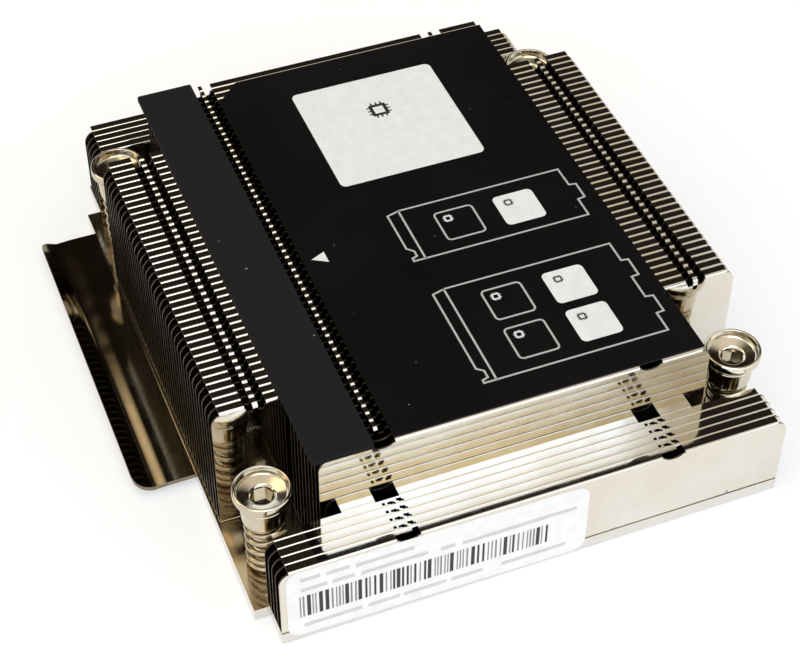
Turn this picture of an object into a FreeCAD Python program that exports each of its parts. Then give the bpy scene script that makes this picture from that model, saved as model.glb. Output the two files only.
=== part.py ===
"""Passive heatsink for a server's processor, with sprung captive screws.

Sheet-metal fins with folded top and bottom edges stand side by side on a flat
base plate.  The tall fins form a cross: wide fins between the screws, and
shorter centre fins in front of and behind them.  Low fins run in front of and
behind the cross.  Every fin is cut at the interlock rows, where a small tab
stands in each cut.  Four captive screws on springs pull the base down onto
the processor.  A foam strip and a printed film lie on the tall fins, a paper
sticker on the front fin, and a thin flange widens the base on the left.

Frame: X along the fins (the way the air blows), Y across them, Z up.  The
origin is the middle of the four screws on the underside of the base.
"""
import FreeCAD, Part
import math
import os

import Sketcher
from FreeCAD import Vector

DOC = FreeCAD.newDocument("Heatsink")

SIZES = {
    # fins
    "fin_pitch": 1.6,
    "fin_sheet": 0.3,
    "fin_seam": 0.05,            # gap between a folded edge and the next fin
    "fin_corner": 2.5,           # rounded upper corners of every fin
    "wide_fin_count": 39,
    "wide_fin_length": 89.0,
    "centre_fin_count": 9,       # in front of the wide fins, and as many behind
    "centre_fin_length": 65.0,
    "short_fin_length": 61.0,    # the low fin next to the tall ones
    "low_fin_count": 5,          # full low fins at the front, and at the back
    "low_fin_length": 85.0,
    "tall_height": 27.5,         # from the underside of the base
    "low_height": 16.5,
    # interlocks
    "inner_lock": 22.2,          # distance of each interlock row from X = 0
    "outer_lock": 37.4,
    "lock_gap": 3.1,
    "lock_depth": 1.1,
    "lock_tab": 0.8,
    "lock_tab_drop": 0.5,        # top of the tab below the top of the fin
    # base
    "base_thick": 2.2,
    "base_body": 97.2,
    "tongue_width": 85.0,
    # side flange
    "flange_sheet": 0.8,
    "flange_rise": 1.0,          # underside of its inner edge
    "flange_reach": 10.3,        # from the edge of the base
    "flange_lift": 1.6,          # how far its outer edge rises
    "flange_front": 18.7,
    "flange_back": 43.6,
    "flange_corner": 2.0,
    "tuck_depth": 2.5,           # part of the flange in the slot of the base
    "tuck_end": 30.0,
    # captive screws
    "screw_spacing": 80.0,
    "screw_margin": 5.0,
    "shank_radius": 2.1,
    "shank_clearance": 0.08,
    "tip_rise": 0.15,            # tip above the underside of the base
    "tip_chamfer": 0.2,
    "stud_bore": 1.25,
    "stud_bore_top": 6.0,
    "head_bottom": 13.4,
    "head_foot_radius": 3.5,
    "head_body_radius": 3.7,
    "head_body_top": 17.0,
    "neck_radius": 3.3,
    "neck_height": 0.4,
    "rim_radius": 4.65,
    "rim_bottom": 18.2,
    "rim_round": 0.3,
    "head_top": 19.8,
    "dish_radius": 4.1,
    "dish_depth": 1.5,
    "drive_flats": 4.0,          # hexagon recess, across its flats
    "drive_depth": 2.0,
    # retaining clips, in a recess under the base
    "recess_radius": 3.6,
    "recess_depth": 1.25,
    "clip_radius": 3.1,
    "clip_thick": 0.5,
    "clip_rise": 0.65,
    "clip_clearance": 0.05,
    "groove_radius": 1.7,
    "clip_mouth": 2.6,
    # springs
    "spring_wire": 0.95,
    "spring_radius": 2.8,        # to the middle of the wire
    "spring_pitch": 1.95,
    # soft and printed pieces
    "strip_left": 33.6,
    "strip_width": 9.9,
    "strip_thick": 1.0,
    "strip_front": 45.9,
    "strip_back": 46.6,
    "film_left": 20.3,
    "film_right": 31.6,
    "film_front": 44.3,
    "film_back": 44.8,
    "film_thick": 0.2,
    "film_cut": 4.4,
    "sticker_left": 41.8,
    "sticker_right": 8.0,
    "sticker_bottom": 1.5,
    "sticker_top": 15.5,
    "sticker_thick": 0.12,
    "sticker_round": 2.0,
}


def make_sheet():
    """Driving dimensions, in mm, one named cell each."""
    sheet = DOC.addObject("Spreadsheet::Sheet", "sizes")
    for row, (alias, number) in enumerate(SIZES.items(), start=1):
        sheet.set(f"A{row}", alias)
        sheet.set(f"B{row}", str(number))
        sheet.setAlias(f"B{row}", alias)
    DOC.recompute()
    return sheet


SHEET = make_sheet()
SPRING_RUNS = 16                 # straight runs in each turn of a spring


def size(alias):
    """Number that one cell of the sheet holds."""
    return float(getattr(SHEET, alias))


def value(text):
    """Number that a sum such as '0.5*low_fin_length - fin_corner' gives."""
    total = 0.0
    sign = 1.0
    for word in text.split():
        if word in ("+", "-"):
            sign = 1.0 if word == "+" else -1.0
            continue
        product = sign
        for factor in word.split("*"):
            product *= size(factor) if factor in SIZES else float(factor)
        total += product
    return total


def cells(text):
    """The same sum as an expression on the sheet."""
    words = []
    for word in text.split():
        factors = [f"sizes.{f}" if f in SIZES else f for f in word.split("*")]
        words.append("*".join(factors))
    if words[0] == "-":
        words.insert(0, "0")
    return " ".join(words)


def new_body(label, place=("0", "0", "0")):
    body = DOC.addObject("PartDesign::Body", label)
    body.Label = label
    body.AllowCompound = True
    for axis, text in zip("xyz", place):
        if text != "0":
            body.setExpression(f"Placement.Base.{axis}", cells(text))
    return body


def origin_part(body, role):
    """One of the body's own origin planes or axes."""
    return next(part for part in body.Origin.OriginFeatures if part.Role == role)


def new_sketch(body, name, plane, height="0"):
    sketch = body.newObject("Sketcher::SketchObject", name)
    sketch.AttachmentSupport = (origin_part(body, plane), [""])
    sketch.MapMode = "FlatFace"
    if height != "0":
        sketch.setExpression("AttachmentOffset.Base.z", cells(height))
    return sketch


def pin_point(sketch, geometry, end, across, up):
    """Hold a point at two coordinates taken from the sheet; None leaves one free."""
    for kind, text, axis in (("DistanceX", across, -2), ("DistanceY", up, -1)):
        if text is None:
            continue
        if text == "0":
            sketch.addConstraint(Sketcher.Constraint("PointOnObject", geometry, end, axis))
            continue
        index = sketch.addConstraint(
            Sketcher.Constraint(kind, -1, 1, geometry, end, value(text)))
        sketch.setExpression(f"Constraints[{index}]", cells(text))


def draw_outline(sketch, points):
    """Closed outline through the points.  (across, up) ends a straight line, and
    (across, up, centre, turn) a quarter arc, anticlockwise if turn is 1."""
    spots = [Vector(value(p[0]), value(p[1]), 0) for p in points]
    ends = []
    for number, point in enumerate(points):
        start = spots[number - 1]
        finish = spots[number]
        if len(point) == 2:
            index = sketch.addGeometry(Part.LineSegment(start, finish))
            ends.append((index, 1, 2))
            continue
        centre, turn = point[2], point[3]
        middle = Vector(value(centre[0]), value(centre[1]), 0)
        low = (start if turn > 0 else finish) - middle
        circle = Part.Circle(middle, Vector(0, 0, 1), low.Length)
        angle = math.atan2(low.y, low.x)
        index = sketch.addGeometry(Part.ArcOfCircle(circle, angle, angle + math.pi / 2))
        pin_point(sketch, index, 3, centre[0], centre[1])
        ends.append((index, 1, 2) if turn > 0 else (index, 2, 1))
    for number, point in enumerate(points):
        index, _, finish = ends[number]
        after, start, _ = ends[(number + 1) % len(points)]
        sketch.addConstraint(Sketcher.Constraint("Coincident", index, finish, after, start))
        across, up = point[0], point[1]
        if len(point) > 2:
            arm = spots[number] - Vector(value(point[2][0]), value(point[2][1]), 0)
            across, up = (None, up) if abs(arm.x) > abs(arm.y) else (across, None)
        pin_point(sketch, index, finish, across, up)


def pad(body, sketch, name, length, midplane=False, reverse=False):
    feature = body.newObject("PartDesign::Pad", name)
    feature.Profile = (sketch, [""])
    feature.setExpression("Length", cells(length))
    feature.Midplane = midplane
    feature.Reversed = reverse
    return feature


def pocket(body, sketch, name, length, midplane=False, reverse=False):
    """Cut, and make sure that it took some metal away."""
    DOC.recompute()
    before = body.Shape.Volume
    feature = body.newObject("PartDesign::Pocket", name)
    feature.Profile = (sketch, [""])
    feature.setExpression("Length", cells(length))
    feature.Midplane = midplane
    feature.Reversed = reverse
    DOC.recompute()
    if body.Shape.Volume >= before - 1e-6:
        raise RuntimeError(f"{body.Label}: {name} cuts nothing")
    return feature


def revolve(body, sketch, name):
    feature = body.newObject("PartDesign::Revolution", name)
    feature.Profile = (sketch, [""])
    feature.ReferenceAxis = (sketch, ["V_Axis"])
    feature.Angle = 360
    return feature


def repeat_back(body, count):
    """Copies of the whole fin, one pitch apart towards the back."""
    pattern = body.newObject("PartDesign::LinearPattern", "row")
    pattern.TransformMode = "Whole shape"
    pattern.Direction = (origin_part(body, "Y_Axis"), [""])
    pattern.setExpression("Length", f"(sizes.{count} - 1) * sizes.fin_pitch")
    pattern.setExpression("Occurrences", f"sizes.{count}")
    body.Tip = pattern


def corner_cut(length, height, side):
    """What the round corner at one end of a fin leaves out."""
    out, back = ("+", "-") if side == "+" else ("-", "+")
    edge = f"{side} 0.5*{length}"
    start = f"{edge} {back} fin_corner"
    middle = (start, f"{height} - fin_corner")
    return [
        (start, f"{height} + 1"),
        (start, height),
        (edge, f"{height} - fin_corner", middle, -1 if side == "+" else 1),
        (f"{edge} {out} 1", f"{height} - fin_corner"),
        (f"{edge} {out} 1", f"{height} + 1"),
    ]


def lock_cut(lock, height, side):
    """Gap of one interlock row, with the tab that stands in it."""
    row = f"{side} {lock}"
    floor = f"{height} - lock_depth"
    tab = f"{height} - lock_tab_drop"
    return [
        (f"{row} - 0.5*lock_gap", f"{height} + 1"),
        (f"{row} - 0.5*lock_gap", floor),
        (f"{row} - 0.5*lock_tab", floor),
        (f"{row} - 0.5*lock_tab", tab),
        (f"{row} + 0.5*lock_tab", tab),
        (f"{row} + 0.5*lock_tab", floor),
        (f"{row} + 0.5*lock_gap", floor),
        (f"{row} + 0.5*lock_gap", f"{height} + 1"),
    ]


def make_fins(label, first, count, length, height, locks):
    """A row of like fins, the first one standing at the Y that first gives.

    Each is a sheet folded backwards at its top and bottom, and the folds reach
    the next fin."""
    body = new_body(label, ("0", first, "0"))
    fold = "fin_pitch - fin_seam"
    section = new_sketch(body, "section", "YZ_Plane")
    draw_outline(section, [
        ("0", "base_thick"),
        (fold, "base_thick"),
        (fold, "base_thick + fin_sheet"),
        ("fin_sheet", "base_thick + fin_sheet"),
        ("fin_sheet", f"{height} - fin_sheet"),
        (fold, f"{height} - fin_sheet"),
        (fold, height),
        ("0", height),
    ])
    pad(body, section, "folded_sheet", length, midplane=True)
    cuts = new_sketch(body, "cuts", "XZ_Plane")
    for side in ("-", "+"):
        draw_outline(cuts, corner_cut(length, height, side))
        for lock in locks:
            draw_outline(cuts, lock_cut(lock, height, side))
    pocket(body, cuts, "corners_and_locks", "4*fin_pitch", midplane=True)
    if count is not None:
        repeat_back(body, count)
    return body


def make_all_fins():
    wide = "- 0.5*wide_fin_count*fin_pitch + 0.5*fin_pitch"
    behind_wide = "0.5*wide_fin_count*fin_pitch + 0.5*fin_pitch"
    centre = "centre_fin_count*fin_pitch"
    low = "low_fin_count*fin_pitch"
    inner = ["inner_lock"]
    return [
        make_fins("wide_fins", wide, "wide_fin_count", "wide_fin_length",
                  "tall_height", ["inner_lock", "outer_lock"]),
        make_fins("front_centre_fins", f"{wide} - {centre}", "centre_fin_count",
                  "centre_fin_length", "tall_height", inner),
        make_fins("back_centre_fins", behind_wide, "centre_fin_count",
                  "centre_fin_length", "tall_height", inner),
        make_fins("front_short_fin", f"{wide} - {centre} - fin_pitch", None,
                  "short_fin_length", "low_height", inner),
        make_fins("back_short_fin", f"{behind_wide} + {centre}", None,
                  "short_fin_length", "low_height", inner),
        make_fins("front_low_fins", f"{wide} - {centre} - fin_pitch - {low}",
                  "low_fin_count", "low_fin_length", "low_height", inner),
        make_fins("back_low_fins", f"{behind_wide} + {centre} + fin_pitch",
                  "low_fin_count", "low_fin_length", "low_height", inner),
    ]


# Y of the front face of the front fin, and of the edge of the last fold
FRONT = ("- 0.5*wide_fin_count*fin_pitch - centre_fin_count*fin_pitch"
         " - low_fin_count*fin_pitch - 0.5*fin_pitch")
BACK = ("0.5*wide_fin_count*fin_pitch + centre_fin_count*fin_pitch"
        " + low_fin_count*fin_pitch + 1.5*fin_pitch")


def make_base():
    """Flat plate with a slot for the side flange and the four screw holes."""
    body = new_body("base_plate")
    outline = new_sketch(body, "outline", "XY_Plane")
    points = []
    for side, end, edge in (("-", FRONT, "- 0.5*base_body"), ("+", FRONT, "- 0.5*base_body"),
                            ("+", BACK, "0.5*base_body"), ("-", BACK, "0.5*base_body")):
        steps = [
            (f"{side} 0.5*tongue_width", end),
            (f"{side} 0.5*tongue_width", edge),
            (f"{side} 0.5*screw_spacing {side} screw_margin", edge),
        ]
        leaving = (side == "+") == (end == FRONT)
        points += steps if leaving else steps[::-1]
    draw_outline(outline, points)
    pad(body, outline, "plate", "base_thick")

    slot = new_sketch(body, "flange_slot", "XZ_Plane")
    draw_outline(slot, [
        ("- 0.5*screw_spacing - screw_margin - 1", "flange_rise"),
        ("- 0.5*screw_spacing - screw_margin + tuck_depth", "flange_rise"),
        ("- 0.5*screw_spacing - screw_margin + tuck_depth", "flange_rise + flange_sheet"),
        ("- 0.5*screw_spacing - screw_margin - 1", "flange_rise + flange_sheet"),
    ])
    slot.setExpression("AttachmentOffset.Base.z", "sizes.flange_front")
    pocket(body, slot, "slot", "flange_front + tuck_end")

    holes = new_sketch(body, "screw_holes", "XY_Plane")
    add_circles(holes, "shank_radius + shank_clearance")
    pocket(body, holes, "holes", "base_thick", reverse=True)
    recesses = new_sketch(body, "clip_recesses", "XY_Plane")
    add_circles(recesses, "recess_radius")
    pocket(body, recesses, "recesses", "recess_depth", reverse=True)
    return body


def add_circles(sketch, radius):
    """A circle at each screw."""
    for left in ("- ", ""):
        for front in ("- ", ""):
            across = f"{left}0.5*screw_spacing"
            up = f"{front}0.5*screw_spacing"
            middle = Vector(value(across), value(up), 0)
            index = sketch.addGeometry(
                Part.Circle(middle, Vector(0, 0, 1), value(radius)))
            pin_point(sketch, index, 3, across, up)
            reach = sketch.addConstraint(
                Sketcher.Constraint("Radius", index, value(radius)))
            sketch.setExpression(f"Constraints[{reach}]", cells(radius))


def make_side_flange():
    """Thin sheet whose inner edge sits in the slot and whose outer edge rises."""
    body = new_body("side_flange", ("- 0.5*screw_spacing - screw_margin", "0", "flange_rise"))
    section = new_sketch(body, "section", "XZ_Plane")
    draw_outline(section, [
        ("tuck_depth", "0"),
        ("tuck_depth", "flange_sheet"),
        ("- 0.1*flange_reach", "flange_sheet"),
        ("- 0.5*flange_reach", "flange_sheet + 0.25*flange_lift"),
        ("- flange_reach", "flange_sheet + flange_lift"),
        ("- flange_reach", "flange_lift"),
        ("- 0.5*flange_reach", "0.25*flange_lift"),
        ("- 0.1*flange_reach", "0"),
    ])
    section.setExpression("AttachmentOffset.Base.z", "sizes.flange_front")
    pad(body, section, "bent_sheet", "flange_front + flange_back", reverse=True)
    trims = new_sketch(body, "trims", "XY_Plane")
    outer = "- flange_reach"
    draw_outline(trims, [
        (f"{outer} - 1", "- flange_front - 1"),
        (f"{outer} + flange_corner", "- flange_front - 1"),
        (f"{outer} + flange_corner", "- flange_front"),
        (outer, "- flange_front + flange_corner",
         (f"{outer} + flange_corner", "- flange_front + flange_corner"), -1),
        (f"{outer} - 1", "- flange_front + flange_corner"),
    ])
    draw_outline(trims, [
        (f"{outer} - 1", "flange_back + 1"),
        (f"{outer} - 1", "flange_back - flange_corner"),
        (outer, "flange_back - flange_corner"),
        (f"{outer} + flange_corner", "flange_back",
         (f"{outer} + flange_corner", "flange_back - flange_corner"), -1),
        (f"{outer} + flange_corner", "flange_back + 1"),
    ])
    draw_outline(trims, [
        ("0", "tuck_end"),
        ("tuck_depth + 1", "tuck_end"),
        ("tuck_depth + 1", "flange_back + 1"),
        ("0", "flange_back + 1"),
    ])
    pocket(body, trims, "corners_and_tuck", "4*flange_lift", midplane=True)
    return body


def make_screw(label, place):
    """Screw with a dished head over a long shank, bored up from its tip."""
    body = new_body(label, place)
    profile = new_sketch(body, "profile", "XZ_Plane")
    groove_top = "clip_rise + clip_thick + clip_clearance"
    rim_in = "rim_radius - rim_round"
    draw_outline(profile, [
        ("stud_bore", "tip_rise"),
        ("shank_radius - tip_chamfer", "tip_rise"),
        ("shank_radius", "tip_rise + tip_chamfer"),
        ("shank_radius", "clip_rise - clip_clearance"),
        ("groove_radius", "clip_rise - clip_clearance"),
        ("groove_radius", groove_top),
        ("shank_radius", groove_top),
        ("shank_radius", "head_bottom"),
        ("head_foot_radius", "head_bottom"),
        ("head_body_radius", "head_body_top"),
        ("neck_radius", "head_body_top"),
        ("neck_radius", "head_body_top + neck_height"),
        (rim_in, "rim_bottom - 0.5*neck_height"),
        ("rim_radius", "rim_bottom + 0.5*neck_height"),
        ("rim_radius", "head_top - rim_round"),
        ("rim_radius - 0.3*rim_round", "head_top - 0.3*rim_round"),
        (rim_in, "head_top"),
        ("dish_radius", "head_top"),
        ("dish_radius", "head_top - dish_depth"),
        ("0", "head_top - dish_depth"),
        ("0", "stud_bore_top"),
        ("stud_bore", "stud_bore_top"),
    ])
    revolve(body, profile, "turned")
    drive = new_sketch(body, "drive", "XY_Plane", "head_top - dish_depth")
    draw_hexagon(drive, "drive_flats")
    pocket(body, drive, "drive_recess", "drive_depth")
    return body


def draw_hexagon(sketch, flats):
    """Hexagon about the origin, with two of its corners on the X axis."""
    radius = value(flats) / math.sqrt(3)
    spots = [Vector(radius * math.cos(math.radians(60 * n)),
                    radius * math.sin(math.radians(60 * n)), 0) for n in range(6)]
    for number in range(6):
        sketch.addGeometry(Part.LineSegment(spots[number], spots[(number + 1) % 6]))
    ring = sketch.addGeometry(Part.Circle(Vector(), Vector(0, 0, 1), radius), True)
    sketch.addConstraint(Sketcher.Constraint("Coincident", ring, 3, -1, 1))
    reach = sketch.addConstraint(Sketcher.Constraint("Radius", ring, radius))
    sketch.setExpression(f"Constraints[{reach}]", f"sizes.{flats} / sqrt(3)")
    for number in range(6):
        after = (number + 1) % 6
        sketch.addConstraint(Sketcher.Constraint("Coincident", number, 2, after, 1))
        sketch.addConstraint(Sketcher.Constraint("PointOnObject", number, 1, ring))
        if number:
            sketch.addConstraint(Sketcher.Constraint("Equal", 0, number))
    sketch.addConstraint(Sketcher.Constraint("PointOnObject", 0, 1, -1))


def make_clip(label, place):
    """Open ring that snaps into the screw's groove under the base."""
    body = new_body(label, place)
    ring = new_sketch(body, "ring", "XY_Plane", "clip_rise")
    for radius in ("clip_radius", "groove_radius + clip_clearance"):
        index = ring.addGeometry(Part.Circle(Vector(), Vector(0, 0, 1), value(radius)))
        ring.addConstraint(Sketcher.Constraint("Coincident", index, 3, -1, 1))
        reach = ring.addConstraint(Sketcher.Constraint("Radius", index, value(radius)))
        ring.setExpression(f"Constraints[{reach}]", cells(radius))
    pad(body, ring, "washer", "clip_thick")
    mouth = new_sketch(body, "mouth", "XY_Plane", "clip_rise")
    draw_outline(mouth, [
        ("- 0.5*clip_mouth", "0"),
        ("- 0.5*clip_mouth", "- clip_radius - 1"),
        ("0.5*clip_mouth", "- clip_radius - 1"),
        ("0.5*clip_mouth", "0"),
    ])
    pocket(body, mouth, "opening", "clip_thick", reverse=True)
    return body


def make_spring(label, place):
    """Coil spring between the base and the head of a screw.

    The wire is a hexagon swept with mitres along short straight runs."""
    radius = size("spring_radius")
    wire = 0.5 * size("spring_wire")
    low = size("base_thick") + wire
    rise = size("head_bottom") - wire - low
    runs = round(SPRING_RUNS * rise / size("spring_pitch"))
    spots = []
    for number in range(runs + 1):
        angle = 2 * math.pi * number / SPRING_RUNS
        spots.append(Vector(radius * math.cos(angle), radius * math.sin(angle),
                            low + rise * number / runs))
    along = (spots[1] - spots[0]).normalize()
    out = (Vector(1, 0, 0) - along * along.x).normalize()
    up = along.cross(out)
    corners = []
    for number in range(7):
        angle = math.pi * number / 3
        corners.append(spots[0] + out * (wire * math.cos(angle))
                       + up * (wire * math.sin(angle)))
    section = Part.makePolygon(corners)
    coil = DOC.addObject("Part::Feature", label)
    coil.Label = label
    coil.Shape = Part.makePolygon(spots).makePipeShell([section], True, False, 1)
    coil.Placement.Base = Vector(*[value(text) for text in place])
    return coil


def make_plate(label, place, points, thick, plane="XY_Plane"):
    """Flat piece padded from one outline."""
    body = new_body(label, place)
    outline = new_sketch(body, "outline", plane)
    draw_outline(outline, points)
    pad(body, outline, "plate", thick)
    return body


def make_foam_strip():
    return make_plate("foam_strip", ("- strip_left", "0", "tall_height"), [
        ("0", "- strip_front"),
        ("strip_width", "- strip_front"),
        ("strip_width", "strip_back"),
        ("0", "strip_back"),
    ], "strip_thick")


def make_top_film():
    """Printed film with its back left corner cut off."""
    return make_plate("top_film", ("0", "0", "tall_height"), [
        ("- film_left", "- film_front"),
        ("film_right", "- film_front"),
        ("film_right", "film_back"),
        ("- film_left + film_cut", "film_back"),
        ("- film_left", "film_back - film_cut"),
    ], "film_thick")


def make_paper_sticker():
    """Sticker with round corners on the front of the front fin."""
    left = "- sticker_left"
    low = "sticker_bottom"
    top = "sticker_top"
    inner_left = "- sticker_left + sticker_round"
    inner_right = "sticker_right - sticker_round"
    return make_plate("paper_sticker", ("0", FRONT, "0"), [
        (inner_right, low),
        ("sticker_right", f"{low} + sticker_round",
         (inner_right, f"{low} + sticker_round"), 1),
        ("sticker_right", f"{top} - sticker_round"),
        (inner_right, top, (inner_right, f"{top} - sticker_round"), 1),
        (inner_left, top),
        (left, f"{top} - sticker_round", (inner_left, f"{top} - sticker_round"), 1),
        (left, f"{low} + sticker_round"),
        (inner_left, low, (inner_left, f"{low} + sticker_round"), 1),
    ], "sticker_thick", "XZ_Plane")


def check_and_write(bodies):
    DOC.recompute()
    for item in DOC.Objects:
        if "Invalid" in item.State or "Error" in item.State:
            raise RuntimeError(f"{item.Label} ({item.Name}) failed: {item.State}")
    for body in bodies:
        shape = body.Shape
        if shape.isNull() or not shape.isValid() or not shape.Solids:
            raise RuntimeError(f"{body.Label} has no valid solid")
    os.makedirs("parts", exist_ok=True)
    for body in bodies:
        body.Shape.exportStep(f"parts/{body.Label}.step")
        print(f"{body.Label}: {len(body.Shape.Solids)} solids,"
              f" {body.Shape.Volume:.2f} mm3")


def main():
    bodies = [make_base(), make_side_flange()] + make_all_fins()
    for name, left, front in (("front_left", "- ", "- "), ("front_right", "", "- "),
                              ("back_left", "- ", ""), ("back_right", "", "")):
        place = (f"{left}0.5*screw_spacing", f"{front}0.5*screw_spacing", "0")
        bodies += [
            make_screw(f"screw_{name}", place),
            make_clip(f"clip_{name}", place),
            make_spring(f"spring_{name}", place),
        ]
    bodies += [make_foam_strip(), make_top_film(), make_paper_sticker()]
    check_and_write(bodies)


main()
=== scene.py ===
import math

import bmesh
import bpy
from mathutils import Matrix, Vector

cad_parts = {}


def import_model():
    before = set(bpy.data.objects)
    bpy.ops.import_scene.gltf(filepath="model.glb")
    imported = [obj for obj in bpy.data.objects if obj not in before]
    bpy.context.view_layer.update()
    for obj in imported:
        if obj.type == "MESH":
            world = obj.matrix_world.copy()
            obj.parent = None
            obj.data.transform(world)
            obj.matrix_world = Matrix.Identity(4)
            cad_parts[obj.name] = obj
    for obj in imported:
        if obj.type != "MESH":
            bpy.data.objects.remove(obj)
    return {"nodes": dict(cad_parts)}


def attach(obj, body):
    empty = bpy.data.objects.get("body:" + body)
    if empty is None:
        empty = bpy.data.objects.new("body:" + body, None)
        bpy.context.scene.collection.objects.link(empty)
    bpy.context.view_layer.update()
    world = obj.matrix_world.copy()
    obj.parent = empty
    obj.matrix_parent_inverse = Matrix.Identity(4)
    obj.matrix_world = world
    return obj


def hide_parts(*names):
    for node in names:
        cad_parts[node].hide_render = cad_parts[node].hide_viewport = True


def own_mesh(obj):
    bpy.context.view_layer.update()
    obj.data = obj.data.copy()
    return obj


# X runs along the fins, Y across them and Z up. The origin is the middle of the four
# screws, on the underside of the base.
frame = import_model()
NODES = frame["nodes"]
SCENE = bpy.context.scene
MM = 0.001
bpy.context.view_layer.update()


# ---------------------------------------------------------------- materials
# sockets of a Mix node for colours: the share, the two colours, and the result
MIX_INPUTS = (0, 6, 7)
MIX_OUTPUT = 2


def colour(value):
    """Colour with its alpha, from a grey or from red, green and blue."""
    parts = value if isinstance(value, tuple) else (value, value, value)
    return (*parts, 1.0)


class Nodes:
    """Node tree to which nodes are added, each linked to those before it."""

    def __init__(self, tree):
        self.tree = tree

    def add(self, kind, **values):
        node = self.tree.nodes.new(kind)
        for key, value in values.items():
            if key in node.inputs.keys():
                node.inputs[key].default_value = value
            else:
                setattr(node, key, value)
        return node

    def link(self, start, end):
        self.tree.links.new(start, end)

    def feed(self, socket, source):
        """Link the source to the socket, or set the socket to it if it is a plain value."""
        if isinstance(source, bpy.types.NodeSocket):
            self.link(source, socket)
        else:
            socket.default_value = source

    def math(self, operation, *sources):
        node = self.add("ShaderNodeMath", operation=operation)
        for socket, source in zip(node.inputs, sources):
            self.feed(socket, source)
        return node.outputs[0]

    def mix(self, share, first, second):
        node = self.add("ShaderNodeMix", data_type="RGBA")
        for index, source in zip(MIX_INPUTS, (share, first, second)):
            self.feed(node.inputs[index], source)
        return node.outputs[MIX_OUTPUT]

    def ramp(self, source, *stops):
        """Colour that passes through the stops, each a place and a colour or grey."""
        node = self.add("ShaderNodeValToRGB")
        elements = node.color_ramp.elements
        while len(elements) < len(stops):
            elements.new(1.0)
        for element, (place, tone) in zip(elements, stops):
            element.position = place
            element.color = colour(tone)
        self.link(source, node.inputs["Fac"])
        return node.outputs["Color"]


class Look(Nodes):
    """Material on the principled shader, whose plain inputs are given by name."""

    def __init__(self, name, **values):
        self.material = bpy.data.materials.new(name)
        self.material.use_nodes = True
        super().__init__(self.material.node_tree)
        self.shader = self.tree.nodes["Principled BSDF"]
        for key, value in values.items():
            self.shader.inputs[key.replace("_", " ")].default_value = value

    def place(self):
        return self.add("ShaderNodeTexCoord").outputs["Object"]

    def noise(self, scale, detail=4.0, rough=0.55):
        """Noise over the object's own metres."""
        noise = self.add("ShaderNodeTexNoise", Scale=scale, Detail=detail, Roughness=rough)
        self.link(self.place(), noise.inputs["Vector"])
        return noise.outputs["Fac"]

    def tint(self, source):
        self.link(source, self.shader.inputs["Base Color"])

    def roughness(self, source):
        self.link(source, self.shader.inputs["Roughness"])

    def bump(self, source, strength, distance):
        bump = self.add("ShaderNodeBump", Strength=strength, Distance=distance)
        self.link(source, bump.inputs["Height"])
        self.link(bump.outputs["Normal"], self.shader.inputs["Normal"])

    def stains(self, clean, stain):
        """Metal's tint, with soft stains about a centimetre wide."""
        return self.ramp(self.noise(70.0, 5.0, 0.6), (0.40, clean), (0.72, stain))

    def uneven_gloss(self, rough):
        gloss = self.ramp(self.noise(300.0), (0.35, 0.8 * rough), (0.75, 1.6 * rough))
        self.roughness(gloss)


def plated(name, clean, stain, rough, waviness=0.0):
    """Bright plated metal: uneven gloss, faint stains and, on a sheet, slight waves."""
    look = Look(name, Metallic=1.0)
    look.tint(look.stains(clean, stain))
    look.uneven_gloss(rough)
    if waviness:
        look.bump(look.noise(60.0, 2.0, 0.4), waviness, 0.2 * MM)
    return look.material


def plate_with_painted_light(name, clean, stain, side, rough):
    """Plated plate with painted light: its flat faces are tinted darker as painted shade
    and its sides lighter as painted light; the flat faces also carry soft stains.
    """
    look = Look(name, Metallic=1.0)
    facing = look.add("ShaderNodeSeparateXYZ")
    look.link(look.add("ShaderNodeTexCoord").outputs["Normal"], facing.inputs["Vector"])
    # painted light: flat faces take the darker stained tint as shade, the sides take the
    # lighter side tint
    flat = look.ramp(look.math("ABSOLUTE", facing.outputs["Z"]), (0.4, 0.0), (0.6, 1.0))
    look.tint(look.mix(flat, colour(side), look.stains(clean, stain)))
    look.uneven_gloss(rough)
    return look.material


def printed(name, tint, rough):
    """Ink or paper with a fine uneven tone."""
    look = Look(name, Roughness=rough)
    darker = tuple(0.93 * part for part in tint)
    look.tint(look.ramp(look.noise(500.0, 3.0), (0.35, darker), (0.65, tint)))
    look.bump(look.noise(2500.0, 2.0), 0.10, 0.05 * MM)
    return look.material


def specked(name, tint, speck, size, rough, grain, grain_scale, gloss):
    """Dark matte surface with small pale specks of dust in some places."""
    look = Look(name, Specular_IOR_Level=gloss)
    fleck = look.add("ShaderNodeTexVoronoi", Scale=300.0)
    look.link(look.place(), fleck.inputs["Vector"])
    dusty = look.ramp(look.noise(120.0, 2.0), (0.50, 0.0), (0.58, 1.0))
    spot = look.ramp(fleck.outputs["Distance"], (0.5 * size, 1.0), (size, 0.0))
    look.tint(look.mix(look.math("MULTIPLY", dusty, spot), colour(tint), colour(speck)))
    look.roughness(look.ramp(look.noise(25.0), (0.35, rough), (0.70, rough + 0.12)))
    look.bump(look.noise(grain_scale, 3.0, 0.7), grain, 0.1 * MM)
    return look.material


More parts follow.
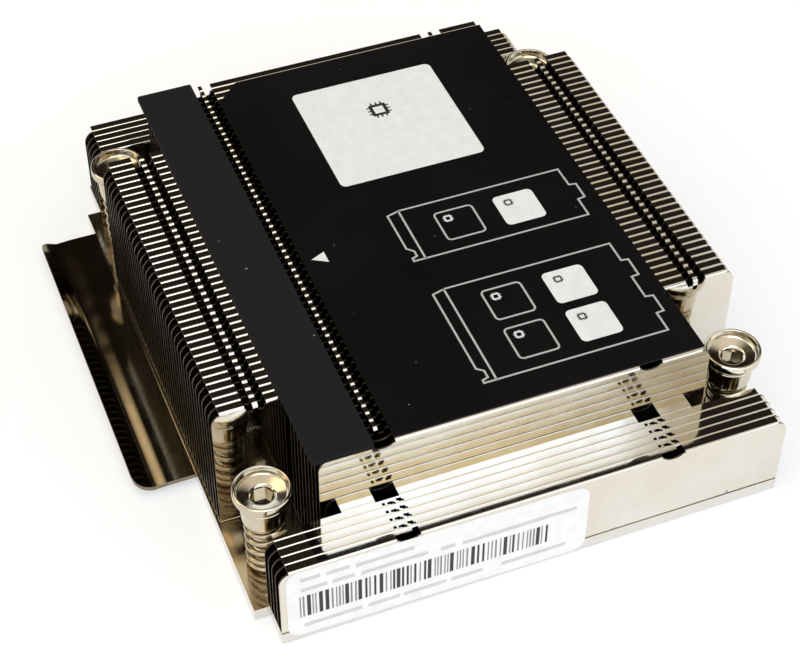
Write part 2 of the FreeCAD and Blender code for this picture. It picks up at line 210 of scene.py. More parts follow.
FINS = plated("plated_fins_look", (0.77, 0.735, 0.66), (0.715, 0.66, 0.555),
              rough=0.06, waviness=0.06)
# painted shade: the cut edges get a near-black tint that stands in for the shade along the
# fin ends
EDGES = plated("cut_edges_painted_shade_look", (0.09, 0.075, 0.057), (0.06, 0.05, 0.035), rough=0.42)
# painted light: the base's flat faces are tinted darker as shade, its sides lighter as lit
# faces
BASE = plate_with_painted_light("plated_base_look", (0.54, 0.47, 0.36), (0.40, 0.33, 0.235),
                    side=(0.74, 0.71, 0.65), rough=0.10)
# painted reflection: the plated flange's tint is darkened to stand in for the dark
# surroundings it mirrors
FLANGE_DARK_REFLECTION = plated("flange_painted_reflection_look", (0.27, 0.225, 0.16), (0.21, 0.17, 0.115),
                rough=0.08, waviness=0.03)
SCREW = plated("plated_screws_look", (0.70, 0.64, 0.52), (0.48, 0.41, 0.29), rough=0.10)
WIRE = plated("coil_wire_look", (0.48, 0.395, 0.265), (0.34, 0.27, 0.175), rough=0.18)
CLIP = plated("clip_look", (0.45, 0.45, 0.46), (0.36, 0.35, 0.34), rough=0.30)
FOAM = specked("grey_foam_look", (0.0105, 0.0100, 0.0098), (0.24, 0.24, 0.24), size=0.075,
               rough=0.88, grain=0.35, grain_scale=2600.0, gloss=0.12)
FILM = specked("black_film_look", (0.0040, 0.0037, 0.0036), (0.12, 0.12, 0.13), size=0.055,
               rough=0.22, grain=0.02, grain_scale=900.0, gloss=0.25)
PRINT = printed("white_print_look", (0.72, 0.73, 0.72), rough=0.45)
FAINT = printed("faint_print_look", (0.42, 0.42, 0.41), rough=0.45)
INK = printed("black_ink_look", (0.012, 0.012, 0.013), rough=0.5)
GREY_INK = printed("grey_ink_look", (0.54, 0.52, 0.49), rough=0.5)
DARK_INK = printed("dark_grey_ink_look", (0.20, 0.20, 0.19), rough=0.5)
PAPER = printed("white_paper_look", (0.77, 0.74, 0.68), rough=0.55)


# ------------------------------------------------------------------- meshes
def add_piece(name, mesh, node=None, body="heatsink", slot=None, smooth_angle=None):
    """Put a mesh into the scene on a body, in place of a node if one is named."""
    piece = bpy.data.objects.new(name, mesh)
    SCENE.collection.objects.link(piece)
    if smooth_angle is not None:
        for polygon in mesh.polygons:
            polygon.use_smooth = True
        mesh.set_sharp_from_angle(angle=math.radians(smooth_angle))
    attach(piece, body)
    if node:
        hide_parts(node)
    return piece


class Mesh:
    """Vertices and faces that grow piece by piece. The faces in cut are cut edges, which
    get a near-black tint as painted shade.
    """

    def __init__(self):
        self.verts = []
        self.faces = []
        self.cut = []

    def prism(self, outline, axis, low, high, cut=None):
        """Closed solid: an outline in the other two axes, between two places on the axis.

        cut names the faces that are cut edges: its "rim" or its "ends"."""
        start = len(self.verts)
        count = len(outline)
        for place in (low, high):
            for across, up in outline:
                spot = [across, up]
                spot.insert(axis, place)
                self.verts.append(tuple(spot))
        first = list(range(start, start + count))
        last = list(range(start + count, start + 2 * count))
        if cut == "ends":
            self.cut += [len(self.faces), len(self.faces) + 1]
        self.faces.append(first[::-1])
        self.faces.append(last)
        for n in range(count):
            m = (n + 1) % count
            if cut == "rim":
                self.cut.append(len(self.faces))
            self.faces.append([first[n], first[m], last[m], last[n]])

    def box(self, axis, low, high, x0, y0, x1, y1):
        """Prism over a rectangle."""
        self.prism([(x0, y0), (x1, y0), (x1, y1), (x0, y1)], axis, low, high)

    def piece(self, name, material, node=None, **rest):
        mesh = bpy.data.meshes.new(name)
        mesh.from_pydata(self.verts, [], self.faces)
        mesh.materials.append(material)
        if self.cut:
            mesh.materials.append(EDGES)
        for index in self.cut:
            mesh.polygons[index].material_index = 1
        return add_piece(name, mesh, node, **rest)


def arc(centre, radius, start, end, steps):
    """Points on an arc, with its angles in degrees."""
    points = []
    for n in range(steps + 1):
        angle = math.radians(start + (end - start) * n / steps)
        points.append((centre[0] + radius * math.cos(angle),
                       centre[1] + radius * math.sin(angle)))
    return points


# --------------------------------------------------------------------- fins
PITCH = 1.6 * MM
SHEET = 0.3 * MM
REACH = PITCH + 0.01 * MM          # how far a fold goes back, onto the next fin
FLOOR = 2.2 * MM                   # top of the base
TALL = 27.5 * MM                   # top of the tall fins
LOW = 16.5 * MM                    # top of the low fins
CORNER = 2.5 * MM                  # radius of a fin's upper corners
BEND = 0.47 * MM                   # outer radius of a fold
LOW_BEND = 0.33 * MM               # the same on top of a low fin
DROOP = 0.021 * MM                 # how much lower a fold ends
CREST = 0.03 * MM                  # flat top of a fold before it droops
END_GAP = 0.35 * MM                # from the end of a fold to the round corner
# rows of locks, and the gap that each leaves in the web and in the fold
INNER = 22.2 * MM
OUTER = 37.4 * MM
ALL_ROWS = (-OUTER, -INNER, INNER, OUTER)
INNER_ROWS = (-INNER, INNER)
FRONT_LOW_ROWS = (-21.8 * MM, 22.5 * MM)
LOCK_GAP = 3.1 * MM
LOCK_DEPTH = 1.1 * MM
LOCK_ROOM = 0.25 * MM              # between a tongue and the floor of its notch
FOLD_GAP = 3.5 * MM
WIDE_GAP = 3.9 * MM
# tongues: half of the width and the radius of the curl, in the outer rows and the others
TONGUE = (0.40 * MM, 0.74 * MM)
SMALL_TONGUE = (0.31 * MM, 0.60 * MM)
TONGUE_DROP = 0.05 * MM
TONGUE_WEB = 2.2 * MM              # height of the strip of web under a tongue
# strip that is left behind a split notch: its front edge and its right end
STRIP_FRONT = 0.95 * MM
STRIP_END = 0.9 * MM
THIN = 0.01 * MM                   # a loose strip lies this much below a fold
# from and to along the fin, then the edges of the opening behind the web
SLITS = [(-1.60, -1.10, 0.58, 1.12), (-0.78, -0.38, 0.55, 1.00), (-0.38, 0.18, 0.42, 1.04),
         (0.18, 0.48, 0.38, 0.80), (0.74, 1.06, 0.76, 1.30), (1.06, 1.62, 0.52, 1.24),
         (1.62, 1.90, 0.46, 0.88)]


def fold_section(y, top, reach, bend):
    """Section of the top fold of a fin, in Y and Z, with its back edge a little low."""
    outer = arc((y + bend, top - bend), bend, 180, 90, 7)
    inner = arc((y + bend, top - bend), bend - SHEET, 90, 180, 3)
    return outer + [(y + bend + CREST, top), (y + reach, top - DROOP),
                    (y + reach, top - DROOP - SHEET)] + inner


def foot_section(y):
    """Section of the fold at the foot of a fin, which lies on the base."""
    outer = arc((y + BEND, FLOOR + BEND), BEND, 180, 270, 4)
    inner = arc((y + BEND, FLOOR + BEND), BEND - SHEET, 270, 180, 3)
    return outer + [(y + REACH, FLOOR), (y + REACH, FLOOR + SHEET)] + inner


def strip_section(y, top, near):
    """Section of what is left of a fold's flat part behind an opening."""
    return [(y + near, top - THIN), (y + REACH, top - DROOP),
            (y + REACH, top - DROOP - SHEET), (y + near, top - SHEET)]


def notch(row, top, shoulder, style):
    """Edge of the web at a lock gap: a cut with a rounded floor."""
    if style == "slits":
        return []
    half_gap = 0.5 * LOCK_GAP
    floor = arc((row, shoulder), half_gap, 180, 360, 10)
    if style in ("bare", "split"):
        deep = (LOCK_DEPTH - BEND) / half_gap
        return [(across, shoulder + (up - shoulder) * deep) for across, up in floor]
    deep = top - LOCK_DEPTH - LOCK_ROOM
    return [(across, max(up, deep)) for across, up in floor]


def tongue(mesh, y, top, row):
    """Curled tongue in a lock gap, on its own strip of web."""
    side, curl = TONGUE if abs(row) == OUTER else SMALL_TONGUE
    low, high = row - side, row + side
    top -= TONGUE_DROP
    mesh.prism(fold_section(y, top, REACH, curl), 0, low, high, cut="ends")
    mesh.prism([(low, top - TONGUE_WEB), (low, top - curl), (high, top - curl),
                (high, top - TONGUE_WEB)], 1, y, y + SHEET, cut="rim")


def slits(mesh, y, top, row, gap, bend):
    """Fold over a lock, with a row of short slits through it."""
    place = row - gap
    for low, high, near, far in SLITS:
        start, stop = row + low * MM, row + high * MM
        mesh.prism(fold_section(y, top, REACH, bend), 0, place, start, cut="ends")
        mesh.prism(fold_section(y, top, near * MM, bend), 0, start, stop, cut="ends")
        mesh.prism(strip_section(y, top, far * MM), 0, start, stop, cut="ends")
        place = stop
    mesh.prism(fold_section(y, top, REACH, bend), 0, place, row + gap, cut="ends")


def fin(mesh, y, half, top, locks, style):
    """One fin: a folded sheet with round corners and a lock at each of its rows.

    style is "tongue" for a narrow curled tongue, "slits" for short slits in the fold,
    "bare" for an open notch, and "split" for a notch with a strip behind it."""
    bend = LOW_BEND if top == LOW else BEND
    shoulder = top - bend
    turn = half - CORNER + math.sqrt(CORNER ** 2 - (CORNER - bend) ** 2)
    rows = [(row, 0.5 * (FOLD_GAP if abs(row) == OUTER else WIDE_GAP)) for row in locks]

    left = arc((-half + CORNER, top - CORNER), CORNER, 180, 90, 10)
    right = arc((half - CORNER, top - CORNER), CORNER, 90, 0, 10)
    outline = [(-half, FLOOR + BEND)]
    outline += [point for point in left if point[1] <= shoulder] + [(-turn, shoulder)]
    for row, _ in rows:
        outline += notch(row, top, shoulder, style)
    outline += [(turn, shoulder)] + [point for point in right if point[1] <= shoulder]
    outline.append((half, FLOOR + BEND))
    mesh.prism(outline, 1, y, y + SHEET, cut="rim")

    starts = [-turn + END_GAP] + [row + gap for row, gap in rows]
    stops = [row - gap for row, gap in rows] + [turn - END_GAP]
    for start, stop in zip(starts, stops):
        mesh.prism(fold_section(y, top, REACH, bend), 0, start, stop, cut="ends")
    for row, gap in rows:
        if style == "tongue":
            tongue(mesh, y, top, row)
        elif style == "slits":
            slits(mesh, y, top, row, gap, bend)
        elif style == "split":
            mesh.prism(strip_section(y, top, STRIP_FRONT), 0, row - gap, row + STRIP_END,
                       cut="ends")
    mesh.prism(foot_section(y), 0, -half, half, cut="ends")


def fin_row(node, first, count, half, top, locks, styles):
    """Row of like fins. The last style holds for all the fins that are left."""
    mesh = Mesh()
    for k in range(count):
        style = styles[min(k, len(styles) - 1)]
        fin(mesh, (first + k) * PITCH, half * MM, top, locks, style)
    mesh.piece(node + "_look", FINS, node, slot="plated_fins", smooth_angle=28)


# first place, count, half of the length, top, rows of locks, and styles from the front
fin_row("wide_fins", -19, 39, 44.5, TALL, ALL_ROWS, ("tongue",))
fin_row("front_centre_fins", -28, 9, 32.5, TALL, INNER_ROWS, ("bare", "bare", "tongue"))
fin_row("back_centre_fins", 20, 9, 32.5, TALL, INNER_ROWS, ("tongue",))
fin_row("front_short_fin", -29, 1, 31.2, LOW, INNER_ROWS, ("bare",))
fin_row("back_short_fin", 29, 1, 31.2, LOW, INNER_ROWS, ("slits",))
fin_row("front_low_fins", -34, 5, 42.5, LOW, FRONT_LOW_ROWS, ("split", "slits"))
fin_row("back_low_fins", 30, 5, 42.5, LOW, INNER_ROWS, ("slits",))


# ------------------------------------------------------------------- flange
def side_flange():
    """Sheet that dips a little along its middle and rises at its outer edge."""
    edge, rise, sheet = -45.0 * MM, 1.0 * MM, 0.8 * MM
    front, back, corner = -18.7 * MM, 43.6 * MM, 2.0 * MM
    tuck, tuck_end = 2.5 * MM, 30.0 * MM
    reach, lift, dip = 10.3 * MM, 1.6 * MM, 0.15 * MM
    # shares of the reach: the dip starts, ends, and the sheet lifts
    dip_start, dip_end, lift_start = 0.43, 0.71, 0.70
    steps, rows = 44, 12
    mesh = Mesh()
    mesh.box(1, front, tuck_end, edge, rise, edge + tuck, rise + sheet)
    start = len(mesh.verts)
    for n in range(steps + 1):
        t = n / steps
        fall = min(1.0, max(0.0, (t - dip_start) / (dip_end - dip_start)))
        z = rise + lift * (max(0.0, t - lift_start) / (1 - lift_start)) ** 1.4
        z -= dip * fall * fall * (3 - 2 * fall)
        into = max(0.0, corner - (reach - reach * t))
        trim = corner - math.sqrt(max(0.0, corner ** 2 - into ** 2))
        for k in range(rows + 1):
            y = front + trim + (back - front - 2 * trim) * k / rows
            mesh.verts.append((edge - reach * t, y, z + sheet))
            mesh.verts.append((edge - reach * t, y, z))

    def at(n, k, side):
        return start + 2 * (n * (rows + 1) + k) + side

    for n in range(steps):
        m = n + 1
        for k in range(rows):
            mesh.faces.append([at(n, k, 0), at(n, k + 1, 0), at(m, k + 1, 0), at(m, k, 0)])
            mesh.faces.append([at(n, k, 1), at(m, k, 1), at(m, k + 1, 1), at(n, k + 1, 1)])
        mesh.faces.append([at(n, 0, 0), at(m, 0, 0), at(m, 0, 1), at(n, 0, 1)])
        mesh.faces.append([at(n, rows, 0), at(n, rows, 1), at(m, rows, 1), at(m, rows, 0)])
    for k in range(rows):
        mesh.faces.append([at(0, k, 0), at(0, k, 1), at(0, k + 1, 1), at(0, k + 1, 0)])
        mesh.faces.append([at(steps, k, 0), at(steps, k + 1, 0), at(steps, k + 1, 1),
                           at(steps, k, 1)])
    # the sheet gets the darkened tint, a painted dark reflection
    mesh.piece("side_flange_look", FLANGE_DARK_REFLECTION, "side_flange", slot="flange_sheet",
               smooth_angle=30)


side_flange()


# ------------------------------------------------------------------- screws
# plain lengths in this section are millimetres
SCREWS = {"front_left": (-40, -40), "front_right": (40, -40), "back_left": (-40, 40),
          "back_right": (40, 40)}
SHOULDER = 13.4                    # underside of the head, where the spring ends
RECESS_TOP = 17.95
RECESS_FLOOR = 16.6
RECESS_HALF = 1.50                 # half of the hexagon, across its flats
TURN_STEPS = 72
# radius, height and rounding of each corner, from the bore over the outside to the dish
TURNED = [
    (1.25, 6.0, 0), (1.25, 0.15, 0), (1.9, 0.15, 0), (2.1, 0.35, 0),       # bored tip
    (2.1, 0.6, 0), (1.7, 0.6, 0), (1.7, 1.2, 0), (2.1, 1.2, 0),            # clip groove
    (2.1, SHOULDER, 0), (3.5, SHOULDER, 0.25), (3.7, 17.0, 0.25),          # head
    (3.3, 17.0, 0), (3.3, 17.4, 0.1), (4.35, 18.0, 0.2),                   # neck
    (4.65, 18.4, 0.25), (4.65, 19.8, 0.32), (4.12, 19.8, 0.18),            # rim
    (4.06, 18.75, 0.35), (3.85, 18.5, 0.2), (2.1, 18.2, 0.14),             # dish
    (1.82, RECESS_TOP, 0),
]


def rounded(corners, steps=4):
    """Profile with each corner that has a rounding turned into a small arc."""
    profile = []
    for n, (radius, height, size) in enumerate(corners):
        if not size:
            profile.append((radius, height))
            continue
        here = Vector((radius, height))
        before = (Vector(corners[n - 1][:2]) - here).normalized()
        after = (Vector(corners[n + 1][:2]) - here).normalized()
        start, end = here + before * size, here + after * size
        for k in range(steps + 1):
            t = k / steps
            spot = start * (1 - t) ** 2 + here * 2 * t * (1 - t) + end * t ** 2
            profile.append((spot.x, spot.y))
    return profile


def screw(name, x, y):
    """Turned screw: bored tip, grooved shank, two-step head, dish and hexagon recess."""
    profile = rounded(TURNED)
    count = TURN_STEPS
    mesh = Mesh()
    for r, z in profile:
        for n in range(count):
            angle = 2 * math.pi * n / count
            mesh.verts.append((x + r * MM * math.cos(angle), y + r * MM * math.sin(angle),
                               z * MM))
    for z in (RECESS_TOP, RECESS_FLOOR):
        for n in range(count):
            angle = 2 * math.pi * n / count
            off_flat = (angle + math.pi / 6) % (math.pi / 3) - math.pi / 6
            r = RECESS_HALF / math.cos(off_flat)
            angle += math.pi / 6
            mesh.verts.append((x + r * MM * math.cos(angle), y + r * MM * math.sin(angle),
                               z * MM))
    rings = len(profile) + 2
    for k in range(rings - 1):
        # the rings of the recess start a twelfth of a turn further on
        shift = count // 12 if k == len(profile) - 1 else 0
        for n in range(count):
            m = (n + 1) % count
            a, b = k * count, (k + 1) * count
            mesh.faces.append([a + n, b + (n - shift) % count, b + (m - shift) % count,
                               a + m])
    mesh.faces.append(list(range(count)))
    mesh.faces.append(list(range((rings - 1) * count, rings * count))[::-1])
    mesh.piece(f"screw_{name}_look", SCREW, f"screw_{name}", body=f"screw_body_{name}",
               slot="plated_screws", smooth_angle=32)


# ------------------------------------------------------------------ springs
def spring(name, x, y):
    """Coil between the base and the head, with its end coils a little closer together."""
    radius, wire = 2.8 * MM, 0.475 * MM
    low, high = FLOOR + wire, SHOULDER * MM - wire
    turns, steps, sides, closer = 5.75, 24, 8, 0.055
    mesh = Mesh()
    total = int(turns * steps)
    for n in range(total + 1):
        t = n / total
        z = low + (high - low) * (t - closer * math.sin(2 * math.pi * t))
        angle = 2 * math.pi * turns * t
        centre = Vector((x + radius * math.cos(angle), y + radius * math.sin(angle), z))
        out = Vector((math.cos(angle), math.sin(angle), 0))
        up = Vector((0, 0, 1))
        for m in range(sides):
            a = 2 * math.pi * m / sides
            mesh.verts.append(tuple(centre + wire * (math.cos(a) * out + math.sin(a) * up)))
    for n in range(total):
        for m in range(sides):
            a, b = n * sides, (n + 1) * sides
            k = (m + 1) % sides
            mesh.faces.append([a + m, a + k, b + k, b + m])
    mesh.faces.append(list(range(sides))[::-1])
    mesh.faces.append(list(range(total * sides, (total + 1) * sides)))
    made = mesh.piece(f"spring_{name}_look", WIRE, f"spring_{name}", slot="coil_wire",
                      smooth_angle=60)
    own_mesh(made)


for name, (x, y) in SCREWS.items():
    spring(name, x * MM, y * MM)
    screw(name, x * MM, y * MM)


# --------------------------------------------------------------- foam strip
def foam_strip():
    """Soft strip with rounded corners and a rounded top edge."""
    low, high = (-33.6 * MM, -45.2 * MM, TALL), (-23.7 * MM, 46.6 * MM, 28.4 * MM)
    corner, rim = 0.35 * MM, 0.28 * MM
    made = bmesh.new()
    bmesh.ops.create_cube(made, size=1.0)
    for vert in made.verts:
        for axis in range(3):
            vert.co[axis] = low[axis] if vert.co[axis] < 0 else high[axis]

    def bevel(edges, size):
        bmesh.ops.bevel(made, geom=edges, offset=size, segments=3, affect="EDGES",
                        profile=0.5)

    bevel([edge for edge in made.edges
           if abs(edge.verts[0].co.z - edge.verts[1].co.z) > 0], corner)
    bevel([edge for edge in made.edges
           if min(vert.co.z for vert in edge.verts) > high[2] - THIN
           and len(edge.link_faces) == 2
           and any(abs(face.normal.z) < 0.5 for face in edge.link_faces)], rim)
    mesh = bpy.data.meshes.new("foam_strip_look")
    made.to_mesh(mesh)
    made.free()
    mesh.materials.append(FOAM)
    strip = add_piece("foam_strip_look", mesh, "foam_strip", slot="grey_foam",
                      smooth_angle=32)


foam_strip()


# -------------------------------------------------------------------- print
# plain numbers in this section and the next are millimetres
FILM_TOP = 27.7
INK_DEEP = 0.015
LINE = 0.34                        # width of a printed line
WALL_LINE = 0.35


def ink_layer(level):
    """Bottom and top of a layer of ink on the film, in metres."""
    low = (FILM_TOP + INK_DEEP * level) * MM
    return low, low + INK_DEEP * MM


def flat_shape(mesh, outline, level=0):
    """Thin ink on top of the film."""
    mesh.prism([(x * MM, y * MM) for x, y in outline], 2, *ink_layer(level))


def flat_box(mesh, x0, y0, x1, y1, level=0):
    """Thin rectangle of ink on top of the film."""
    flat_shape(mesh, [(x0, y0), (x1, y0), (x1, y1), (x0, y1)], level)


def round_box(x0, y0, x1, y1, radius, steps=5):
    """Outline of a rectangle with round corners."""
    points = []
    for cx, cy, start in ((x1 - radius, y1 - radius, 0), (x0 + radius, y1 - radius, 90),
                          (x0 + radius, y0 + radius, 180), (x1 - radius, y0 + radius, 270)):
        points += arc((cx, cy), radius, start, start + 90, steps)
    return points


def ring(mesh, outside, inside, level=0):
    """Band of ink between two outlines that have the same number of points."""
    start = len(mesh.verts)
    count = len(outside)
    for outline in (outside, inside):
        for z in ink_layer(level):
            mesh.verts.extend((x * MM, y * MM, z) for x, y in outline)
    ol, oh, il, ih = (start + k * count for k in range(4))
    for n in range(count):
        m = (n + 1) % count
        for a, b in ((oh, ih), (ol, oh), (ih, il), (il, ol)):
            mesh.faces.append([a + n, a + m, b + m, b + n])


def offset(points, away):
    """Closed outline moved sideways by away, with mitred corners."""
    sharpest = 0.35
    out = []
    count = len(points)
    for n in range(count):
        here = Vector(points[n])
        one = (here - Vector(points[n - 1])).normalized()
        two = (Vector(points[(n + 1) % count]) - here).normalized()
        side_one, side_two = Vector((-one.y, one.x)), Vector((-two.y, two.x))
        mitre = (side_one + side_two).normalized()
        out.append(here + mitre * (away / max(sharpest, mitre.dot(side_one))))
    return [(p.x, p.y) for p in out]


def tray(mesh, points, wall, y0, y1):
    """Outline of a tray, with a second line along its left wall."""
    points = points[::-1]
    ring(mesh, offset(points, 0.5 * LINE), offset(points, -0.5 * LINE))
    flat_box(mesh, wall, y0, wall + WALL_LINE, y1)


def square_frame(mesh, x0, y0, x1, y1, radius=0.9):
    """Line around a rectangle with round corners."""
    ring(mesh, round_box(x0, y0, x1, y1, radius),
         round_box(x0 + LINE, y0 + LINE, x1 - LINE, y1 - LINE, radius - LINE))


def chip(mesh, x, y, size, level):
    """Small square ring with short pins, the usual sign for a processor."""
    half, wall = 0.5 * size, 0.2 * size
    pin, pin_length, pin_step = 0.05 * size, 0.17 * size, 0.28 * size
    square = [(x + half, y + half), (x - half, y + half), (x - half, y - half),
              (x + half, y - half)]
    ring(mesh, square, offset(square, wall), level)
    for side in (-1, 1):
        near, far = sorted((side * half, side * (half + pin_length)))
        for along in (-pin_step, 0.0, pin_step):
            flat_box(mesh, x + along - pin, y + near, x + along + pin, y + far, level)
            flat_box(mesh, x + near, y + along - pin, x + far, y + along + pin, level)


def label_print():
    """White panel, plan of two trays and plain marks. There is no lettering."""
    white, faint, ink = Mesh(), Mesh(), Mesh()
    flat_shape(white, round_box(-8.0, 11.1, 18.4, 37.5, 1.1))
    chip(ink, 5.3, 28.3, 3.1, 1)
    flat_shape(white, [(-18.8, -3.7), (-16.3, -5.2), (-16.3, -2.6)])
    tray(faint, [(-3.5, 1.6), (-1.2, 2.2), (27.9, 2.2), (28.0, -2.1), (29.2, -2.3),
                 (29.2, -5.8), (27.9, -6.0), (27.9, -10.1), (-1.4, -10.1), (-3.4, -10.1),
                 (-3.4, -9.4), (-2.5, -9.1), (-2.5, -7.9), (-3.5, -6.9)],
         -1.55, -10.1, 2.2)
    tray(faint, [(-3.5, -18.4), (-1.2, -17.8), (28.0, -17.8), (28.0, -22.1),
                 (29.2, -22.3), (29.2, -26.1), (27.9, -26.2), (27.9, -31.1),
                 (29.2, -31.3), (29.2, -35.0), (27.9, -35.1), (27.9, -39.1),
                 (-1.5, -39.1), (-3.5, -39.1), (-3.5, -38.5), (-2.5, -38.2),
                 (-2.5, -36.7), (-3.5, -35.9)],
         -1.6, -39.1, -17.8)
    for y in (-7.7, -27.6, -36.7):
        square_frame(faint, 3.6, y, 10.7, y + 7.2)
        chip(white, 5.7, y + 5.2, 1.3, 0)
        flat_shape(white, round_box(14.3, y - 0.1, 21.5, y + 7.2, 0.9))
        chip(ink, 16.6, y + 5.2, 1.3, 1)
    white.piece("label_print", PRINT, slot="white_paper")
    faint.piece("label_outlines", FAINT, slot="white_paper")
    ink.piece("label_marks", INK, slot="black_film")


label_print()


# ------------------------------------------------------------ front sticker
PAPER_FRONT = -54.52
PAPER_BACK = -54.40
UPRIGHT_INK = 0.012


def upright(mesh, x0, z0, x1, z1, front=PAPER_FRONT - UPRIGHT_INK, back=PAPER_FRONT):
    """Thin box that faces the front, by default ink on the paper."""
    mesh.box(1, front * MM, back * MM, x0 * MM, z0 * MM, x1 * MM, z1 * MM)


def paper_sticker():
    """Sheet of paper on the front fin, set a little askew."""
    left, right, fall = -41.5, 8.15, 0.65
    mesh = Mesh()
    outline = round_box(left, 1.0, right, 16.15, 2.2)
    mesh.prism([(x * MM, (z - fall * (x - left) / (right - left)) * MM)
                for x, z in outline], 1, PAPER_FRONT * MM, PAPER_BACK * MM)
    mesh.piece("paper_sticker_look", PAPER, "paper_sticker", slot="white_paper")


# soft grey lines: height at the left, fall over their span, and where their parts lie
LINE_START = -39.2
LINE_SPAN = 45
HALF_LINE = 0.42
GREY_LINES = [
    (14.2, 1.4, ((-39.2, -36.1), (-35.1, -31.4), (-30.4, -21.0))),
    (11.8, 0.85, ((-39.2, -35.0), (-34.2, -30.6), (-29.6, -18.8), (-16.7, -14.3),
                  (-13.1, 6.1))),
    (3.15, 0.3, ((-38.9, -29.5), (-28.5, -23.3), (-22.7, -15.6), (-14.8, -9.5),
                 (-6.3, 4.7))),
]


def sticker_print():
    """Upright bars of uneven width, with two soft grey lines over and one under them."""
    first, last, across = -39.5, 1.5, 41.4
    foot, foot_fall, head, head_fall = 5.25, 0.4, 10.3, 1.2
    widths, gaps = (0.22, 0.36, 0.22, 0.60, 0.30), (0.26, 0.40, 0.24, 0.52)
    widest_thin = 0.32
    bars, thin, lines = Mesh(), Mesh(), Mesh()
    x = first
    state = 7
    while x < last:
        state = (state * 29 + 11) % 97
        width = widths[state % 5]
        along = (x - first) / across
        upright(bars if width > widest_thin else thin, x, foot - foot_fall * along,
                x + width, head - head_fall * along)
        x += width + gaps[state % 4]
    for z, fall, parts in GREY_LINES:
        for start, stop in parts:
            middle = z - fall * (0.5 * (start + stop) - LINE_START) / LINE_SPAN
            upright(lines, start, middle - HALF_LINE, stop, middle + HALF_LINE)
    bars.piece("sticker_bars", INK, slot="black_film")
    thin.piece("sticker_thin_bars", DARK_INK, slot="black_film")
    lines.piece("sticker_lines", GREY_INK, slot="grey_foam")


def painted_slot_shade():
    """Painted shade: small flat dark patches in place of the shade inside slots where the
    front fin meets the base plate.
    """
    foot, front, back = 2.3, -54.41, -54.35
    mesh = Mesh()
    for x, wide, high in ((13.4, 0.7, 0.4), (15.8, 0.6, 0.35), (33.4, 0.3, 1.0),
                          (36.6, 0.7, 0.25), (39.2, 0.6, 0.25)):
        upright(mesh, x - 0.5 * wide, foot, x + 0.5 * wide, foot + high, front, back)
    # dark grey ink stands in for the shade in the slots
    mesh.piece("painted_slot_shade", DARK_INK, slot="black_film")


paper_sticker()
sticker_print()
painted_slot_shade()


# --------------------------------------------------------------- paint nodes
def paint(node, material):
    """Give a node of the part its look and leave its shape as it is."""
    materials = NODES[node].data.materials
    materials.clear()
    materials.append(material)


paint("base_plate", BASE)
for name in SCREWS:
    paint(f"clip_{name}", CLIP)
paint("top_film", FILM)


# --------------------------------------------------------------------- stage
def stage():
    """White floor that glows a little, so that it stays white in the shade."""
    half, depth = 3, -0.0002
    mesh = bpy.data.meshes.new("floor")
    mesh.from_pydata([(-half, -half, depth), (half, -half, depth), (half, half, depth),
                      (-half, half, depth)], [], [(0, 1, 2, 3)])
    floor = bpy.data.objects.new("floor", mesh)
    SCENE.collection.objects.link(floor)
    look = Look("floor_look", Base_Color=colour(0.50), Roughness=0.9,
                Emission_Color=colour(1.0), Emission_Strength=0.46)
    mesh.materials.append(look.material)


def lamp(name, at, aim, width, power):
    """Square area lamp."""
    light = bpy.data.lights.new(name, "AREA")
    light.shape = "RECTANGLE"
    light.size = width
    light.size_y = width
    light.energy = power
    obj = bpy.data.objects.new(name, light)
    SCENE.collection.objects.link(obj)
    obj.location = at
    obj.rotation_mode = "QUATERNION"
    obj.rotation_quaternion = (Vector(aim) - Vector(at)).to_track_quat("-Z", "Y")


# degrees from the front horizon over the top to the back one, and the light from there
SKY = [
    (0.0, (1.0, 1.0, 1.0)),
    (11.0, (1.0, 1.0, 1.0)),
    (16.0, (1.85, 2.12, 2.66)),
    (51.9, (1.85, 2.12, 2.66)),
    (52.2, (0.74, 0.60, 0.32)),
    (52.55, (0.82, 0.67, 0.36)),
    (53.1, (1.10, 0.95, 0.57)),
    (61.0, (1.10, 0.95, 0.57)),
    (68.0, (0.98, 0.92, 0.84)),
    (108.0, (0.95, 0.88, 0.78)),
    (121.0, (0.022, 0.017, 0.013)),
    (164.0, (0.018, 0.014, 0.012)),
    (172.0, (1.0, 1.0, 1.0)),
    (180.0, (1.0, 1.0, 1.0)),
]
FRONT_EDGE = (51.9, 52.2)          # where the bright front part of the sky ends
POST = (0.56, 0.46, 0.29)
SHADE = (0.24, 0.18, 0.10)
GLEAM = (2.25, 1.92, 1.32)
WALLS = (1.0, 1.0, 1.0)
BRIGHTEST = 2.8                    # the light that a colour of 1 stands for


def dimmed(tone):
    """Light as a colour for the background, whose strength is the brightest light."""
    return tuple(part / BRIGHTEST for part in tone)


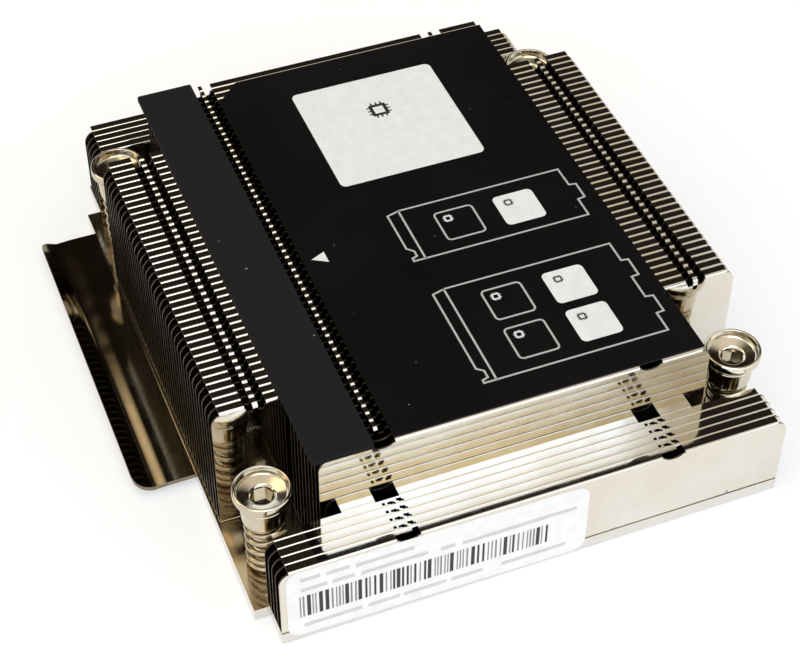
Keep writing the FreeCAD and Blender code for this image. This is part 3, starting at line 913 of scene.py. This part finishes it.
class Sky(Nodes):
    """Node graph of the studio that surrounds the part."""

    def __init__(self):
        SCENE.world = bpy.data.worlds.new("studio")
        SCENE.world.use_nodes = True
        super().__init__(SCENE.world.node_tree)
        self.tree.nodes.clear()
        split = self.add("ShaderNodeSeparateXYZ")
        self.link(self.add("ShaderNodeTexCoord").outputs["Generated"],
                  split.inputs["Vector"])
        self.x, self.y, self.z = (split.outputs[axis] for axis in "XYZ")
        self.angle = self.math("ARCTAN2", self.z, self.math("MULTIPLY", self.y, -1.0))

    def span(self, source, low, high, last=1.0):
        """Goes smoothly from 0 at low to last at high, which may be the smaller one."""
        node = self.add("ShaderNodeMapRange", interpolation_type="SMOOTHSTEP")
        for key, value in (("From Min", low), ("From Max", high), ("To Min", 0.0),
                           ("To Max", last)):
            node.inputs[key].default_value = value
        self.link(source, node.inputs["Value"])
        return node.outputs["Result"]

    def turn(self, low, high):
        """The same over the angle, in degrees."""
        return self.span(self.angle, math.radians(low), math.radians(high))

    def both(self, *shares):
        """Product of all the shares."""
        product = shares[0]
        for share in shares[1:]:
            product = self.math("MULTIPLY", product, share)
        return product


def world():
    """Light from all around, which the bright metal mirrors."""
    sky = Sky()
    made = sky.ramp(sky.math("DIVIDE", sky.angle, math.pi),
                    *((degrees / 180, dimmed(tone)) for degrees, tone in SKY))
    # a tan post stands on the right of the bright front part
    post = sky.both(sky.span(sky.x, 0.344, 0.372), sky.span(sky.x, 0.415, 0.398),
                    sky.turn(*FRONT_EDGE[::-1]), sky.turn(30, 36), 0.95)
    made = sky.mix(post, made, colour(dimmed(POST)))
    # the part over it fades to the right
    shade = sky.both(sky.turn(*FRONT_EDGE), sky.span(sky.x, 0.28, 0.38, 0.55),
                     sky.turn(100, 75))
    made = sky.mix(shade, made, colour(dimmed(SHADE)))
    # soft light high behind on the left
    gleam = sky.both(sky.span(sky.x, 0.07, -0.01), sky.turn(133.3, 132.0),
                     sky.turn(108, 116))
    made = sky.mix(gleam, made, colour(dimmed(GLEAM)))
    # white walls low down all around
    made = sky.mix(sky.span(sky.z, 0.23, 0.18), made, colour(dimmed(WALLS)))
    glow = sky.add("ShaderNodeBackground", Strength=BRIGHTEST)
    sky.link(made, glow.inputs["Color"])
    out = sky.add("ShaderNodeOutputWorld")
    sky.link(glow.outputs["Background"], out.inputs["Surface"])


stage()
world()
lamp("top", at=(-0.1, -0.20, 0.85), aim=(0, 0, 0.01), width=0.5, power=1.6)


# -------------------------------------------------------------------- camera
def camera():
    """Camera of the main view."""
    data = bpy.data.cameras.new("camera")
    data.sensor_width = 36
    data.lens = 87.79815
    data.clip_start = 0.01
    data.clip_end = 20
    obj = bpy.data.objects.new("camera", data)
    SCENE.collection.objects.link(obj)
    obj.location = (-0.09069, -0.22335, 0.24541)
    obj.rotation_mode = "QUATERNION"
    obj.rotation_quaternion = (0.908851, 0.372925, -0.072233, -0.172334)
    SCENE.camera = obj


camera()
SCENE.view_settings.view_transform = "Standard"
